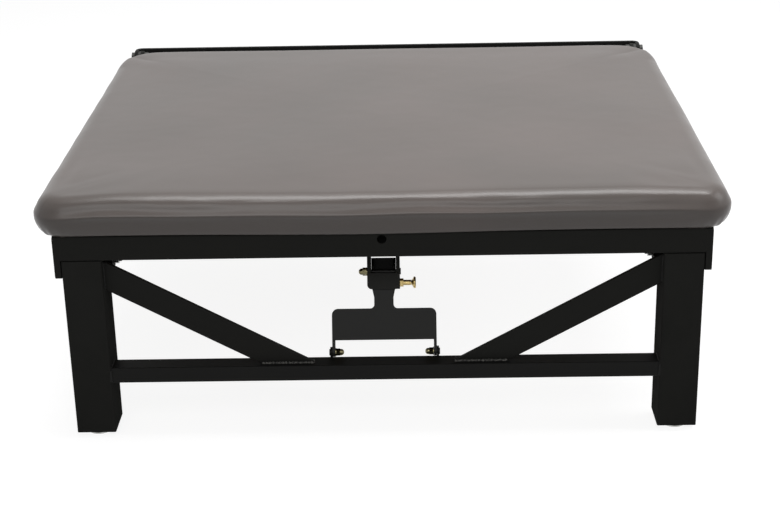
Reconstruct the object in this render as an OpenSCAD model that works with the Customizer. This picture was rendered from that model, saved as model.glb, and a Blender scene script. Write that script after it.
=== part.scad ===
// Wall-mounted folding mat table.
// Millimetres, +Z up, front towards -Y, wall plane at Y = 0.
// The origin is the centre of the wall bolt holes, on the wall plane.

/* [Deck] */
// Height of the mat top above the floor
top_h = 508; // [460:1:600]
// Width of the steel deck frame, along the wall
frame_w = 1220; // [1000:5:1600]
// Depth of the steel deck frame, front face to rear face
frame_d = 966; // [700:2:1200]
// Height of the deck rails
rail_h = 50.8; // [40:0.2:64]
// Thickness of the deck rails, across their length
rail_t = 25.4; // [20:0.2:38]
// Wall of the rail tube
rail_wall = 2.5; // [1.5:0.5:4]
// Outer corner radius of the square and flat tubes
tube_r = 3; // [2:0.5:5]
// Radius of the catch hole in the middle of the front rail
catch_hole_r = 9; // [5:0.5:12]
// Drop of the catch hole's centre below the top of the front rail
catch_hole_drop = 14.5; // [13:0.5:25]

/* [Mat] */
// Thickness of the plywood board
board_t = 18; // [12:1:25]
// Thickness of the upholstered foam above the board
foam_t = 60; // [45:1:80]
// Overhang of the mat past each end of the frame
mat_end = 50; // [30:1:80]
// Overhang of the mat past the front of the frame
mat_front = 20; // [5:1:40]
// Overhang of the mat past the rear of the frame
mat_back = 31; // [20:1:50]
// Crown of the mat top above its edges
mat_crown = 6; // [0:1:12]
// Radius of the mat's upper edge
mat_edge_r = 34; // [20:1:40]
// Radius of the mat's lower edge
mat_under_r = 30; // [16:1:32]
// Plan radius of the two front corners of the mat
mat_front_r = 50; // [30:1:70]
// Plan radius of the two rear corners of the mat
mat_rear_r = 75; // [50:1:100]
// How far each side of the mat draws in between its corners
mat_draw_in = 4; // [0:0.5:8]

/* [Wall bracket] */
// Height of the wall plate
plate_h = 128; // [110:2:180]
// Thickness of the bent wall plate and its two lugs
plate_t = 8; // [5:0.5:12]
// Distance between the two outer columns of wall holes
wall_hole_x = 812.8; // [609.6:0.2:900]
// Distance between the two rows of wall holes
wall_hole_z = 80; // [50:1:90]
// Radius of the wall holes
wall_hole_r = 5.5; // [4:0.5:7]
// Radius of the rounded nose of the lugs and hinge arms
nose_r = 14; // [12:0.5:16]
// Distance from the face of the wall plate to the hinge pin
pin_reach = 20; // [17:0.5:30]
// Thickness of the hinge arms under the deck
arm_t = 8; // [6:0.5:12]
// Length of the spacer between each hinge arm and its lug
spacer_t = 6.6; // [3:0.2:10]

/* [Leg frame] */
// Side of the square leg tube
leg_s = 76.2; // [60:0.2:90]
// Wall of the leg tube
leg_wall = 3; // [2:0.5:5]
// Distance from the leg pin to the top and rear faces of the leg
leg_pin_in = 17.5; // [15:0.5:22]
// Height of the crossbar
bar_h = 32; // [25:0.5:40]
// Depth of the crossbar
bar_d = 40; // [30:0.5:50]
// Height of the crossbar's underside above the foot of the leg tube
bar_up = 107; // [80:1:140]
// Width of the flat brace bars
brace_w = 51; // [38:0.5:60]
// Thickness of the flat brace bars
brace_t = 8; // [6:0.5:12]
// Distance from the middle of the crossbar to each brace's toe
brace_toe = 135; // [125:1:220]
// Thickness of the ears that carry the legs
ear_t = 12; // [8:0.5:16]
// Length of the ears below the deck frame
ear_drop = 38; // [36:0.5:46]
// Height of the leg tube's end above the floor
foot_gap = 12; // [10:0.5:20]
// Radius of the levelling glides
glide_r = 26; // [20:0.5:32]

/* [Stay] */
// Lean of the locked stay away from the upright
stay_lean = 20; // [16:0.5:22]
// Width of the stay plate
stay_w = 205; // [160:1:230]
// Height of the wide part of the stay plate
stay_plate_h = 61.5; // [45:0.5:66]
// Width of the stay's neck
stay_neck_w = 38; // [26:0.5:42]
// Width of the stay's head
stay_head_w = 45; // [44:0.5:47]
// Thickness of the stay's sheet steel
stay_t = 4; // [3:0.5:5]
// Thickness of the stay's folded side flanges
stay_flange_t = 5.5; // [4:0.5:7]
// Radius of the upper corners of the stay plate
stay_corner_r = 12; // [6:0.5:20]
// Distance from the stay pivot to the catch bolt, along the stay
stay_catch_u = 157.7; // [150:0.1:168]
// Thickness of the catch bracket's side walls
bracket_wall = 7.5; // [4:0.5:9]
// Radius of the pull knob
knob_r = 11.5; // [9:0.5:14]
// Travel of the pull knob
knob_travel = 8; // [6:0.5:10]

/* [Hidden] */

$fn = 48;
// Overrun of the cuts
cut = 1;
// Play of a pin in its bore
pin_play = 0.05;
// Gap between faces that slide past each other
slip = 0.3;

// Heights
top_z = plate_h / 2;
floor_z = top_z - top_h;
frame_top = top_z - foam_t - board_t;
frame_bottom = frame_top - rail_h;
hinge_z = top_z - nose_r;
nose_lean = 20;
spacer_step = 1.2;
plate_bend = 2 * plate_t;
rib_x_share = 0.5;

// Depths, from the wall plane forward
hinge_y = -(plate_t + pin_reach);
mat_rear_gap = 1;
mat_rear = hinge_y - nose_r - mat_rear_gap;
frame_rear = mat_rear - mat_back;
frame_front = frame_rear - frame_d;
mat_front_y = frame_front - mat_front;

// Widths, from the middle outward
frame_x = frame_w / 2;
lug_in = frame_x + 2 * slip + spacer_t;
lug_out = lug_in + plate_t;
leg_gap = 1.5;
leg_out = frame_x - leg_gap;
leg_in = leg_out - leg_s;
ear_in = leg_in - leg_gap;

// Large bolts: wall hinge and leg pins
big_bolt_r = 6;
big_head_af = 19;
big_head_t = 8;
big_nut_t = 10;
big_thread_out = 5;
bush_wall = 2;

// Small bolts with low round heads and cap nuts: stay pivots and catch
small_bolt_r = 4;
small_head_r = 6.5;
small_head_t = 2;
cap_washer_r = 8.5;
cap_washer_t = 1.6;
cap_hex_af = 14;
cap_hex_t = 7.5;
cap_dome_r = 6.4;
cap_dome_t = 8;
cap_dome_shares = [[0, 0], [1, 0], [1, 0.35], [0.87, 0.68], [0.5, 0.93], [0, 1]];

// Leg pins
leg_top_gap = 2;
leg_top = frame_bottom - leg_top_gap;
leg_bottom = floor_z + foot_gap;
leg_pin_z = leg_top - leg_pin_in;
leg_pin_y = frame_front + leg_s - leg_pin_in;
washer_t = 1.2;
washer_r = 13;

// Crossbar and braces
bar_set_back = 1.5;
bar_wall = 2.5;
bar_front = frame_front + bar_set_back;
bar_rear = bar_front + bar_d;
bar_bottom = leg_bottom + bar_up;
bar_top = bar_bottom + bar_h;
brace_set_back = 16;
brace_head_drop = 6;
brace_head_z = leg_top - brace_head_drop;
brace_angle = atan((brace_head_z - bar_top) / (leg_in - brace_toe));

// Stay: u runs up the stay from its pivot, v runs rearward from it
stay_front_v = -12;
stay_rear_v = 8;
stay_eye_r = 9;
stay_pivot_gap = 9.5;
stay_pivot_rise = 4.3;
stay_pivot_y = bar_rear + stay_pivot_gap;
stay_pivot_z = bar_top + stay_pivot_rise;
stay_plate_u = 24.5;
stay_shoulder_u = stay_plate_u + stay_plate_h;
stay_fillet = 8;
head_u = 124;
head_wall = 3.5;
head_above = 12;
head_below = 10;
head_rise = 14.5;
head_back_t = 3;
head_back_play = 0.5;
head_top_u = stay_catch_u + head_above;
head_web_top_u = stay_catch_u - head_below;
hook_half = 4.6;
hook_mouth_half = 7.2;
lock_drop = 22.3;
lock_u = stay_catch_u - lock_drop;
tab_t = 4;
tab_r = 10.5;
tab_in = stay_w / 2 + slip;

// Catch bracket
bracket_in = 24.5;
bracket_out = bracket_in + bracket_wall;
bracket_front_v = -17.5;
bracket_rear_v = 15;
bracket_low_u = 124;
bracket_round = 9;
bracket_web_t = 3;
bracket_window_drop = 2;
bracket_web_top_u = stay_catch_u - bracket_window_drop;
bracket_top_t = 5;
bracket_top_d = 64;
bracket_lip = 3;

// Spring plunger on the right wall of the catch bracket
pin_r = 2.5;
lock_hole_r = 3.1;
pin_nose_gap = 0.5;
pin_nose_x = stay_head_w / 2 + pin_nose_gap;
barrel_r = 5.6;
barrel_hex_af = 14;
barrel_hex_t = 7;
barrel_len = 22;
barrel_bore_r = 4.2;
barrel_end_wall = 3;
spring_wire = 0.8;
spring_turns = 7;
knob_t = 9;
knob_gap = 0.4;
knob_shares = [[0, 0], [0.42, 0], [0.5, 0.16], [0.72, 0.34], [0.97, 0.5],
    [1, 0.62], [1, 0.8], [0.9, 0.97], [0, 1]];
pin_collar_r = 4;
pin_collar_t = 2;

// Feet
plug_t = 12;
cap_t = 4;
cap_lip = 1.2;
glide_t = 8;
stem_r = 6;
stem_flange_r = 11;
stem_up = 46;
stem_flange_t = foot_gap - glide_t;
glide_edge = 2;

// Board fixing tabs
tab_plate_t = 3;
tab_plate_w = 32;
tab_plate_d = 24;
screw_r = 2.4;
screw_head_r = 4.6;
screw_head_t = 2;
screw_bite = 13;
tab_share_list_shares = [-0.36, -0.12, 0.12, 0.36];

// Mat form
board_edge = 4;
board_in = mat_under_r + board_edge;
board_play = 0.3;
corner_steps = 6;
side_steps = 6;
arc_low = 4;
arc_high = 7;
crown_shares = [0.9, 0.7, 0.35];

// Flat outlines drawn in the YZ plane, given thickness from x0 to x1
module yz_plate(x0, x1) {
    translate([x0, 0, 0]) rotate([90, 0, 90]) linear_extrude(x1 - x0) children();
}

// Flat outlines drawn in the XZ plane, given thickness from y0 to y1
module xz_plate(y0, y1) {
    translate([0, y1, 0]) rotate([90, 0, 0]) linear_extrude(y1 - y0) children();
}

module x_rod(r, x0, x1) {
    translate([x0, 0, 0]) rotate([0, 90, 0]) cylinder(r = r, h = x1 - x0);
}

module x_hex(af, x0, x1) {
    translate([x0, 0, 0]) rotate([0, 90, 0]) cylinder(d = af / cos(30), h = x1 - x0, $fn = 6);
}

module both_sides() {
    children();
    mirror([1, 0, 0]) children();
}

module left() {
    mirror([1, 0, 0]) children();
}

module round_rect(w, h, r) {
    translate([r, 0]) square([w - 2 * r, h]);
    translate([0, r]) square([w, h - 2 * r]);
    for (x = [r, w - r], y = [r, h - r]) translate([x, y]) circle(r);
}

module tube_outline(w, h, wall, r) {
    difference() {
        round_rect(w, h, r);
        translate([wall, wall]) square([w - 2 * wall, h - 2 * wall]);
    }
}

// Deck rails

module rail_along_x(x0, x1, y0) {
    yz_plate(x0, x1) translate([y0, frame_bottom]) tube_outline(rail_t, rail_h, rail_wall, tube_r);
}

module rail_along_y(x0) {
    xz_plate(frame_front + rail_t, frame_rear - rail_t)
        translate([x0, frame_bottom]) tube_outline(rail_t, rail_h, rail_wall, tube_r);
}

module deck_front_rail() {
    color("#1f1f1d") difference() {
        rail_along_x(-frame_x, frame_x, frame_front);
        translate([0, frame_front + rail_wall + cut, frame_top - catch_hole_drop])
            rotate([90, 0, 0]) cylinder(r = catch_hole_r, h = rail_wall + 2 * cut);
    }
}

module deck_rear_rail() {
    color("#1f1f1d") rail_along_x(-frame_x, frame_x, frame_rear - rail_t);
}

module deck_side_rail() {
    color("#1f1f1d") rail_along_y(frame_x - rail_t);
}

module deck_centre_rail() {
    color("#1f1f1d") rail_along_y(-rail_t / 2);
}

module deck_rib() {
    color("#1f1f1d") rail_along_y(frame_x * rib_x_share - rail_t / 2);
}

module rear_rail_caps() {
    color("#161616") both_sides()
        yz_plate(frame_x, frame_x + cap_lip)
            translate([frame_rear - rail_t, frame_bottom]) round_rect(rail_t, rail_h, tube_r);
    color("#161616") both_sides()
        yz_plate(frame_x - cap_t * 2, frame_x)
            translate([frame_rear - rail_t + rail_wall, frame_bottom + rail_wall])
                square([rail_t - 2 * rail_wall, rail_h - 2 * rail_wall]);
}

// Board and its fixings

function tab_places() = [for (s = tab_share_list_shares, side = [-1, 1]) [s * frame_w, side]];

module at_tabs() {
    for (p = tab_places()) {
        y = p[1] < 0 ? frame_front + rail_t : frame_rear - rail_t;
        translate([p[0], y, frame_top]) scale([1, p[1] < 0 ? 1 : -1, 1]) children();
    }
}

module board_tabs() {
    color("#1f1f1d") at_tabs() difference() {
        translate([-tab_plate_w / 2, 0, -tab_plate_t]) cube([tab_plate_w, tab_plate_d, tab_plate_t]);
        translate([0, tab_plate_d / 2, -tab_plate_t - cut])
            cylinder(r = screw_r + pin_play, h = tab_plate_t + 2 * cut);
    }
}

module board_screws() {
    color("#b9b9b4") at_tabs() translate([0, tab_plate_d / 2, 0]) {
        translate([0, 0, -tab_plate_t - screw_head_t]) cylinder(r = screw_head_r, h = screw_head_t);
        translate([0, 0, -tab_plate_t]) cylinder(r = screw_r, h = tab_plate_t + screw_bite);
    }
}

// Outline of the mat drawn in by d, as a list of [x, y] points
mat_x = frame_x + mat_end;

function arc(cx, cy, r, a0) =
    [for (i = [0 : corner_steps]) [cx + r * cos(a0 + 90 * i / corner_steps), cy + r * sin(a0 + 90 * i / corner_steps)]];

function side(p, q, bow) =
    let (dx = q[0] - p[0], dy = q[1] - p[1], n = norm([dx, dy]))
    [for (i = [1 : side_steps - 1]) let (f = i / side_steps, b = 4 * bow * f * (1 - f))
        [p[0] + dx * f - b * dy / n, p[1] + dy * f + b * dx / n]];

function mat_outline(d, bow) =
    let (x = mat_x - d, y0 = mat_front_y + d, y1 = mat_rear - d,
         rf = max(mat_front_r - d, mat_under_r / 2), rr = max(mat_rear_r - d, mat_under_r / 2))
    concat(
        arc(x - rf, y0 + rf, rf, -90), side([x, y0 + rf], [x, y1 - rr], bow),
        arc(x - rr, y1 - rr, rr, 0), side([x - rr, y1], [-x + rr, y1], bow),
        arc(-x + rr, y1 - rr, rr, 90), side([-x, y1 - rr], [-x, y0 + rf], bow),
        arc(-x + rf, y0 + rf, rf, 180), side([-x + rf, y0], [x - rf, y0], bow));

module plywood_board() {
    color("#b08a5a") difference() {
        translate([0, 0, frame_top]) linear_extrude(board_t) polygon(mat_outline(board_in, 0));
        at_tabs() translate([0, tab_plate_d / 2, -cut]) cylinder(r = screw_r, h = screw_bite + cut);
    }
}

module mat_form() {
    edge_z = top_z - mat_crown;
    side_low = frame_top + mat_under_r;
    side_high = edge_z - mat_edge_r;
    mid = [0, (mat_front_y + mat_rear) / 2];
    low = [for (i = [0 : arc_low]) let (a = -90 + 90 * i / arc_low)
        [mat_under_r * (1 - cos(a)), side_low + mat_under_r * sin(a)]];
    high = [for (i = [0 : arc_high]) let (a = 90 * i / arc_high)
        [mat_edge_r * (1 - cos(a)), max(side_high, side_low) + (edge_z - max(side_high, side_low)) * sin(a)]];
    walls = [for (p = concat(low, high)) [for (q = mat_outline(p[0], mat_draw_in)) [q[0], q[1], p[1]]]];
    rim = mat_outline(mat_edge_r, mat_draw_in);
    crown = [for (s = crown_shares) [for (q = rim)
        [mid[0] + (q[0] - mid[0]) * s, mid[1] + (q[1] - mid[1]) * s, edge_z + mat_crown * (1 - s * s)]]];
    rings = concat(walls, crown);
    n = len(rim);
    m = len(rings);
    points = concat([for (r = rings, p = r) p], [[mid[0], mid[1], top_z], [mid[0], mid[1], frame_top]]);
    faces = concat(
        [for (k = [0 : m - 2], i = [0 : n - 1]) [k * n + i, (k + 1) * n + i, (k + 1) * n + (i + 1) % n]],
        [for (k = [0 : m - 2], i = [0 : n - 1]) [k * n + i, (k + 1) * n + (i + 1) % n, k * n + (i + 1) % n]],
        [for (i = [0 : n - 1]) [(m - 1) * n + i, m * n, (m - 1) * n + (i + 1) % n]],
        [for (i = [0 : n - 1]) [i, (i + 1) % n, m * n + 1]]);
    polyhedron(points, faces);
}

module mat_cushion() {
    color("#87817c") difference() {
        mat_form();
        translate([0, 0, frame_top - cut])
            linear_extrude(board_t + board_play + cut) polygon(mat_outline(board_in - board_play, 0));
    }
}

// Wall bracket

module wall_plate() {
    color("#1f1f1d") difference() {
        xz_plate(-plate_t, 0) translate([-(lug_out - plate_bend), -plate_h / 2])
            square([2 * (lug_out - plate_bend), plate_h]);
        for (x = [-wall_hole_x / 2, 0, wall_hole_x / 2], z = [-wall_hole_z / 2, wall_hole_z / 2])
            translate([x, cut, z]) rotate([90, 0, 0]) cylinder(r = wall_hole_r, h = plate_t + 2 * cut);
    }
}

module lug_outline() {
    difference() {
        union() {
            translate([hinge_y, hinge_z]) circle(nose_r);
            polygon([[hinge_y, top_z], [0, top_z], [0, -plate_h / 2], [-plate_t * 2, -plate_h / 2],
                [hinge_y - nose_r * cos(nose_lean), hinge_z - nose_r * sin(nose_lean)]]);
        }
        translate([hinge_y, hinge_z]) circle(big_bolt_r + pin_play);
    }
}

module wall_lug() {
    color("#1f1f1d") {
        yz_plate(lug_in, lug_out) difference() {
            lug_outline();
            translate([-plate_bend, -plate_h]) square([plate_bend + cut, 2 * plate_h]);
        }
        translate([0, 0, -plate_h / 2]) linear_extrude(plate_h)
            translate([lug_out - plate_bend, -plate_bend]) difference() {
                circle(plate_bend);
                circle(plate_t);
                translate([-3 * plate_t, -3 * plate_t]) square([3 * plate_t, 6 * plate_t]);
                translate([-3 * plate_t, -3 * plate_t]) square([6 * plate_t, 3 * plate_t]);
            }
    }
}

// Hinge arms: under the mat's rear overhang and up behind it to the pin

module arm_outline() {
    difference() {
        union() {
            translate([hinge_y, hinge_z]) circle(nose_r);
            translate([hinge_y - nose_r, frame_bottom]) square([2 * nose_r, hinge_z - frame_bottom]);
            translate([frame_rear, frame_bottom]) square([hinge_y - frame_rear, rail_h - tube_r]);
        }
        translate([hinge_y, hinge_z]) circle(big_bolt_r + bush_wall);
        translate([hinge_y + nose_r, frame_bottom]) rotate(45)
            square([2 * nose_r, 2 * nose_r], center = true);
    }
}

module hinge_arm() {
    color("#1f1f1d") yz_plate(frame_x - arm_t, frame_x) arm_outline();
}

module hinge_bushes() {
    color("#b08d4a") both_sides() translate([0, hinge_y, hinge_z]) difference() {
        x_rod(big_bolt_r + bush_wall, frame_x - arm_t, frame_x);
        x_rod(big_bolt_r + pin_play, frame_x - arm_t - cut, frame_x + cut);
    }
}

module hinge_spacers() {
    color("#e9e8e2") both_sides() translate([0, hinge_y, hinge_z]) difference() {
        x_rod(nose_r - spacer_step, frame_x + slip, lug_in - slip);
        x_rod(big_bolt_r + pin_play, frame_x, lug_in);
    }
}

module hinge_bolts() {
    color("#b9b9b4") both_sides() translate([0, hinge_y, hinge_z]) {
        x_hex(big_head_af, lug_out, lug_out + big_head_t);
        x_rod(big_bolt_r, frame_x - arm_t - slip - big_nut_t - big_thread_out, lug_out);
    }
}

module hinge_nuts() {
    color("#b9b9b4") both_sides() translate([0, hinge_y, hinge_z]) difference() {
        x_hex(big_head_af, frame_x - arm_t - slip - big_nut_t, frame_x - arm_t - slip);
        x_rod(big_bolt_r, frame_x - arm_t - big_nut_t - cut, frame_x - arm_t);
    }
}

// Ears that carry the legs

ear_round = 8;
ear_r = ear_drop - leg_top_gap - leg_pin_in;

module ear_outer() {
    color("#1f1f1d") yz_plate(frame_x, frame_x + ear_t) difference() {
        translate([frame_front, frame_bottom - ear_drop])
            round_rect(leg_s, ear_drop + rail_h - slip, ear_round);
        translate([leg_pin_y, leg_pin_z]) circle(big_bolt_r + pin_play);
    }
}

module ear_inner() {
    color("#1f1f1d") yz_plate(ear_in - ear_t, ear_in) difference() {
        union() {
            translate([leg_pin_y, leg_pin_z]) circle(ear_r);
            translate([leg_pin_y - ear_r, leg_pin_z]) square([2 * ear_r, frame_top - slip - leg_pin_z]);
            translate([frame_front + rail_t, frame_bottom])
                square([leg_pin_y - frame_front - rail_t, rail_h - slip]);
        }
        translate([leg_pin_y, leg_pin_z]) circle(big_bolt_r + pin_play);
    }
}

module leg_pin_bolts() {
    color("#1f1f1d") both_sides() translate([0, leg_pin_y, leg_pin_z]) {
        x_hex(big_head_af, frame_x + ear_t, frame_x + ear_t + big_head_t);
        x_rod(big_bolt_r, ear_in - ear_t - big_nut_t - big_thread_out, frame_x + ear_t);
    }
}

module leg_pin_nuts() {
    color("#1f1f1d") both_sides() translate([0, leg_pin_y, leg_pin_z]) difference() {
        x_hex(big_head_af, ear_in - ear_t - big_nut_t, ear_in - ear_t);
        x_rod(big_bolt_r, ear_in - ear_t - big_nut_t - cut, ear_in - ear_t + cut);
    }
}

module leg_pin_washers() {
    play = (leg_gap - washer_t) / 2;
    color("#e9e8e2") both_sides() translate([0, leg_pin_y, leg_pin_z])
        for (x = [ear_in + play, leg_out + play]) difference() {
            x_rod(washer_r, x, x + washer_t);
            x_rod(big_bolt_r + pin_play, x - cut, x + washer_t + cut);
        }
}

// Legs

module leg() {
    sleeve_r = big_bolt_r + bush_wall * 2;
    color("#20201d") difference() {
        translate([leg_in, frame_front, leg_bottom])
            linear_extrude(leg_top - leg_bottom) tube_outline(leg_s, leg_s, leg_wall, tube_r);
        yz_plate(leg_in - cut, leg_out + cut) difference() {
            translate([leg_pin_y, leg_pin_z]) square([leg_pin_in + cut, leg_pin_in + cut]);
            translate([leg_pin_y, leg_pin_z]) circle(leg_pin_in);
        }
        translate([0, leg_pin_y, leg_pin_z]) x_rod(sleeve_r, leg_in - cut, leg_out + cut);
    }
}

module leg_sleeves() {
    sleeve_r = big_bolt_r + bush_wall * 2;
    color("#8d8d88") both_sides() translate([0, leg_pin_y, leg_pin_z]) difference() {
        x_rod(sleeve_r, leg_in, leg_out);
        x_rod(big_bolt_r + pin_play, leg_in - cut, leg_out + cut);
    }
}

// The cap closes the top of the leg and follows the rounded corner behind the pin
module leg_top_caps() {
    color("#20201d") both_sides() yz_plate(leg_in + leg_wall, leg_out - leg_wall) {
        translate([frame_front + leg_wall, leg_top - leg_wall])
            square([leg_pin_y - frame_front - leg_wall, leg_wall]);
        intersection() {
            translate([leg_pin_y, leg_pin_z]) difference() {
                circle(leg_pin_in);
                circle(leg_pin_in - leg_wall);
            }
            translate([leg_pin_y, leg_pin_z]) square([leg_pin_in - leg_wall, leg_pin_in]);
        }
    }
}

module leg_foot_plugs() {
    mid = [(leg_in + leg_out) / 2, frame_front + leg_s / 2];
    inner = leg_s - 2 * leg_wall;
    color("#161616") both_sides() difference() {
        translate([mid[0] - inner / 2, mid[1] - inner / 2, leg_bottom]) cube([inner, inner, plug_t]);
        translate([mid[0], mid[1], leg_bottom - cut])
            cylinder(r = stem_r + pin_play, h = plug_t + 2 * cut);
    }
}

module glide() {
    mid = [(leg_in + leg_out) / 2, frame_front + leg_s / 2];
    color("#c9c8c4") translate([mid[0], mid[1], floor_z]) rotate_extrude()
        polygon([[0, 0], [glide_r - glide_edge, 0], [glide_r, glide_edge],
            [glide_r, glide_t - 2 * glide_edge], [stem_flange_r, glide_t], [0, glide_t]]);
}

module glide_stem() {
    mid = [(leg_in + leg_out) / 2, frame_front + leg_s / 2];
    color("#b9b9b4") translate([mid[0], mid[1], floor_z + glide_t]) {
        cylinder(r = stem_flange_r, h = stem_flange_t - slip);
        cylinder(r = stem_r, h = stem_flange_t + stem_up);
    }
}

// Crossbar and braces

module crossbar() {
    color("#20201d") yz_plate(-leg_in, leg_in)
        translate([bar_front, bar_bottom]) tube_outline(bar_d, bar_h, bar_wall, tube_r);
}

module brace() {
    y = frame_front + brace_set_back;
    color("#20201d") xz_plate(y, y + brace_t) polygon([
        [leg_in, brace_head_z], [leg_in, brace_head_z - brace_w / cos(brace_angle)],
        [brace_toe + brace_w / sin(brace_angle), bar_top], [brace_toe, bar_top]]);
}

module stay_tab() {
    color("#20201d") yz_plate(tab_in, tab_in + tab_t) difference() {
        union() {
            translate([stay_pivot_y, stay_pivot_z]) circle(tab_r);
            translate([bar_rear, stay_pivot_z - tab_r * 2]) square([stay_pivot_gap, tab_r * 2]);
            translate([stay_pivot_y, stay_pivot_z - tab_r * 2]) square([tab_r / 2, tab_r]);
        }
        translate([stay_pivot_y, stay_pivot_z]) circle(small_bolt_r + pin_play);
        translate([bar_rear - cut - tube_r, stay_pivot_z - tab_r * 3]) square([cut + tube_r, tab_r * 5]);
    }
}

// Cap nut with its washer, standing away from x = 0 towards -X
module cap_nut() {
    mirror([1, 0, 0]) difference() {
        union() {
            x_rod(cap_washer_r, 0, cap_washer_t);
            x_hex(cap_hex_af, cap_washer_t, cap_washer_t + cap_hex_t);
            translate([cap_washer_t + cap_hex_t - slip, 0, 0]) rotate([0, 90, 0]) rotate_extrude()
                polygon([for (p = cap_dome_shares) [p[0] * cap_dome_r, p[1] * (cap_dome_t + slip)]]);
        }
        x_rod(small_bolt_r, -cut, cap_washer_t + cap_hex_t);
    }
}

module stay_pivot_bolts() {
    color("#1a1a19") both_sides() translate([0, stay_pivot_y, stay_pivot_z]) {
        x_rod(small_head_r, tab_in + tab_t, tab_in + tab_t + small_head_t);
        x_rod(small_bolt_r, stay_w / 2 - stay_flange_t - slip - cap_washer_t - cap_hex_t, tab_in + tab_t);
    }
}

module stay_pivot_nuts() {
    color("#d8c98a") both_sides() translate([stay_w / 2 - stay_flange_t - slip, stay_pivot_y, stay_pivot_z])
        cap_nut();
}

// Stay, drawn upright from its pivot and then leaned back

module on_stay() {
    translate([0, stay_pivot_y, stay_pivot_z]) rotate([-stay_lean, 0, 0]) children();
}

module stay_outline() {
    half = stay_w / 2;
    neck = stay_neck_w / 2;
    head = stay_head_w / 2;
    difference() {
        union() {
            translate([-half, stay_plate_u]) square([stay_w, stay_plate_h - stay_corner_r]);
            translate([-half + stay_corner_r, stay_plate_u])
                square([stay_w - 2 * stay_corner_r, stay_plate_h]);
            for (s = [-1, 1]) translate([s * (half - stay_corner_r), stay_shoulder_u - stay_corner_r])
                circle(stay_corner_r);
            translate([-neck - stay_fillet, stay_shoulder_u]) square([2 * (neck + stay_fillet), stay_fillet]);
            polygon([[-neck, stay_shoulder_u], [neck, stay_shoulder_u], [neck, head_u - 2 * stay_fillet],
                [head, head_u], [-head, head_u], [-neck, head_u - 2 * stay_fillet]]);
        }
        for (s = [-1, 1]) translate([s * (neck + stay_fillet), stay_shoulder_u + stay_fillet])
            circle(stay_fillet);
    }
}

module stay_plate() {
    color("#2c2c29") on_stay() xz_plate(stay_front_v, stay_front_v + stay_t) stay_outline();
}

module stay_head() {
    color("#2c2c29") on_stay() {
        translate([-stay_head_w / 2, stay_front_v, head_u])
            cube([stay_head_w, stay_t, head_web_top_u - head_u]);
        both_sides() difference() {
            yz_plate(stay_head_w / 2 - head_wall, stay_head_w / 2) difference() {
                polygon([[stay_front_v, head_u], [stay_rear_v, head_u], [stay_rear_v, head_top_u + head_rise],
                    [stay_rear_v - head_back_t, head_top_u + head_rise], [stay_front_v, head_top_u]]);
                translate([0, stay_catch_u]) circle(hook_half);
                polygon([[0, stay_catch_u - hook_half], [0, stay_catch_u + hook_half],
                    [stay_front_v - cut, stay_catch_u + hook_mouth_half],
                    [stay_front_v - cut, stay_catch_u - hook_mouth_half]]);
            }
            translate([0, 0, lock_u]) x_rod(lock_hole_r, 0, stay_head_w);
        }
        translate([head_back_play - bracket_in, stay_rear_v - head_back_t, stay_catch_u - hook_half])
            cube([2 * (bracket_in - head_back_play), head_back_t,
                head_top_u + head_rise - stay_catch_u + hook_half]);
    }
}

module stay_flange() {
    x1 = stay_w / 2;
    color("#2c2c29") on_stay() yz_plate(x1 - stay_flange_t, x1) difference() {
        union() {
            circle(stay_eye_r);
            translate([stay_front_v, 0])
                square([stay_rear_v - stay_front_v, stay_shoulder_u - stay_corner_r]);
        }
        circle(small_bolt_r + pin_play);
        translate([stay_front_v - cut, stay_plate_u])
            square([stay_t + cut, stay_shoulder_u]);
    }
}

// Catch bracket under the centre rail

module bracket_wall_outline(low) {
    v = bracket_front_v + bracket_web_t;
    w = bracket_rear_v - v;
    long = frame_bottom - stay_pivot_z;
    translate([v, low + bracket_round]) square([w, long]);
    translate([v, low]) square([w - bracket_round, 2 * bracket_round]);
    translate([v + w - bracket_round, low + bracket_round]) circle(bracket_round);
}

// Front band of the bracket, with rounded lower corners
module bracket_web_outline() {
    half = bracket_out;
    translate([-half, bracket_low_u + bracket_round])
        square([2 * half, bracket_web_top_u - bracket_low_u - bracket_round]);
    translate([-half + bracket_round, bracket_low_u]) square([2 * (half - bracket_round), 2 * bracket_round]);
    for (s = [-1, 1]) translate([s * (half - bracket_round), bracket_low_u + bracket_round]) circle(bracket_round);
}

module catch_bracket() {
    y = stay_pivot_y + (frame_bottom - stay_pivot_z) * tan(stay_lean);
    color("#1a1a19") {
        difference() {
            on_stay() {
                difference() {
                    union() {
                        yz_plate(bracket_in, bracket_out) bracket_wall_outline(bracket_low_u);
                        yz_plate(-bracket_out, -bracket_in)
                            bracket_wall_outline(bracket_low_u + bracket_round);
                    }
                    translate([0, 0, stay_catch_u]) x_rod(small_bolt_r, -bracket_out - cut, bracket_out + cut);
                    translate([0, 0, lock_u]) x_rod(barrel_r - slip, 0, bracket_out + cut);
                }
                xz_plate(bracket_front_v, bracket_front_v + bracket_web_t) bracket_web_outline();
            }
            translate([-frame_x, frame_front, frame_bottom - bracket_top_t / 2])
                cube([frame_w, frame_d, rail_h * 4]);
        }
        translate([-bracket_out - bracket_lip, y - bracket_top_d / 2, frame_bottom - bracket_top_t])
            cube([2 * (bracket_out + bracket_lip), bracket_top_d, bracket_top_t]);
    }
}

module catch_bolt() {
    color("#1a1a19") on_stay() translate([0, 0, stay_catch_u]) {
        x_rod(small_head_r, bracket_out, bracket_out + small_head_t);
        x_rod(small_bolt_r, -bracket_out - cap_washer_t - cap_hex_t, bracket_out);
    }
}

module catch_nut() {
    color("#d8c98a") on_stay() translate([-bracket_out, 0, stay_catch_u]) cap_nut();
}

// Spring plunger

barrel_x0 = bracket_in;
barrel_x1 = barrel_x0 + bracket_wall + barrel_len;
spring_x0 = barrel_x0 + barrel_end_wall + 2 * slip + pin_collar_t + knob_travel;
spring_x1 = barrel_x1 - barrel_end_wall - slip;

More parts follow.
